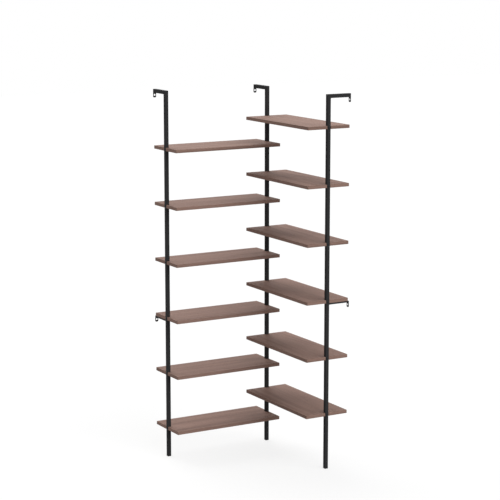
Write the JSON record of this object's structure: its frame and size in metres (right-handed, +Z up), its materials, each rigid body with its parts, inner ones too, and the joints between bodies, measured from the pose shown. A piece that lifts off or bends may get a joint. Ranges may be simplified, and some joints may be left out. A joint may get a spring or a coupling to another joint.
{
  "type": "corner ladder bookshelf",
  "caption": "Tall corner bookshelf: square steel posts carry notched wood boards in two wings at a right angle, staggered in height where they share the corner post.",
  "frame": {"origin": "on the floor, at the centre of the corner post's foot", "axes": "+Z up; the left wing runs from the origin along -X and the right wing along -Y; the walls are on the +Y side of the left wing and on the +X side of the right wing"},
  "size_m": [0.7022, 0.7022, 1.83],
  "materials": {
    "board": "satin walnut veneer with fine straight grain",
    "frame": "matt black powder coat",
    "plug": "matt black moulded plastic",
    "bolt": "black finished steel",
    "insert": "zinc plated"
  },
  "bodies": {
    "root": {"corner_bracket_bar": "frame", "corner_bracket_tab": "frame", "corner_foot_plug": "plug", "corner_post": "frame", "corner_top_arm": "frame", "corner_top_tab": "frame", "left_bracket_bar": "frame", "left_bracket_tab": "frame", "left_corner_bolts": "bolt", "left_corner_inserts": "insert", "left_far_bolts": "bolt", "left_far_inserts": "insert", "left_foot_plug": "plug", "left_post": "frame", "left_shelf_1": "board", "left_shelf_2": "board", "left_shelf_3": "board", "left_shelf_4": "board", "left_shelf_5": "board", "left_shelf_6": "board", "left_top_arm": "frame", "left_top_tab": "frame", "right_bracket_bar": "frame", "right_bracket_tab": "frame", "right_corner_bolts": "bolt", "right_corner_inserts": "insert", "right_far_bolts": "bolt", "right_far_inserts": "insert", "right_foot_plug": "plug", "right_post": "frame", "right_shelf_1": "board", "right_shelf_2": "board", "right_shelf_3": "board", "right_shelf_4": "board", "right_shelf_5": "board", "right_shelf_6": "board", "right_top_arm": "frame", "right_top_tab": "frame"}
  },
  "joints": []
}
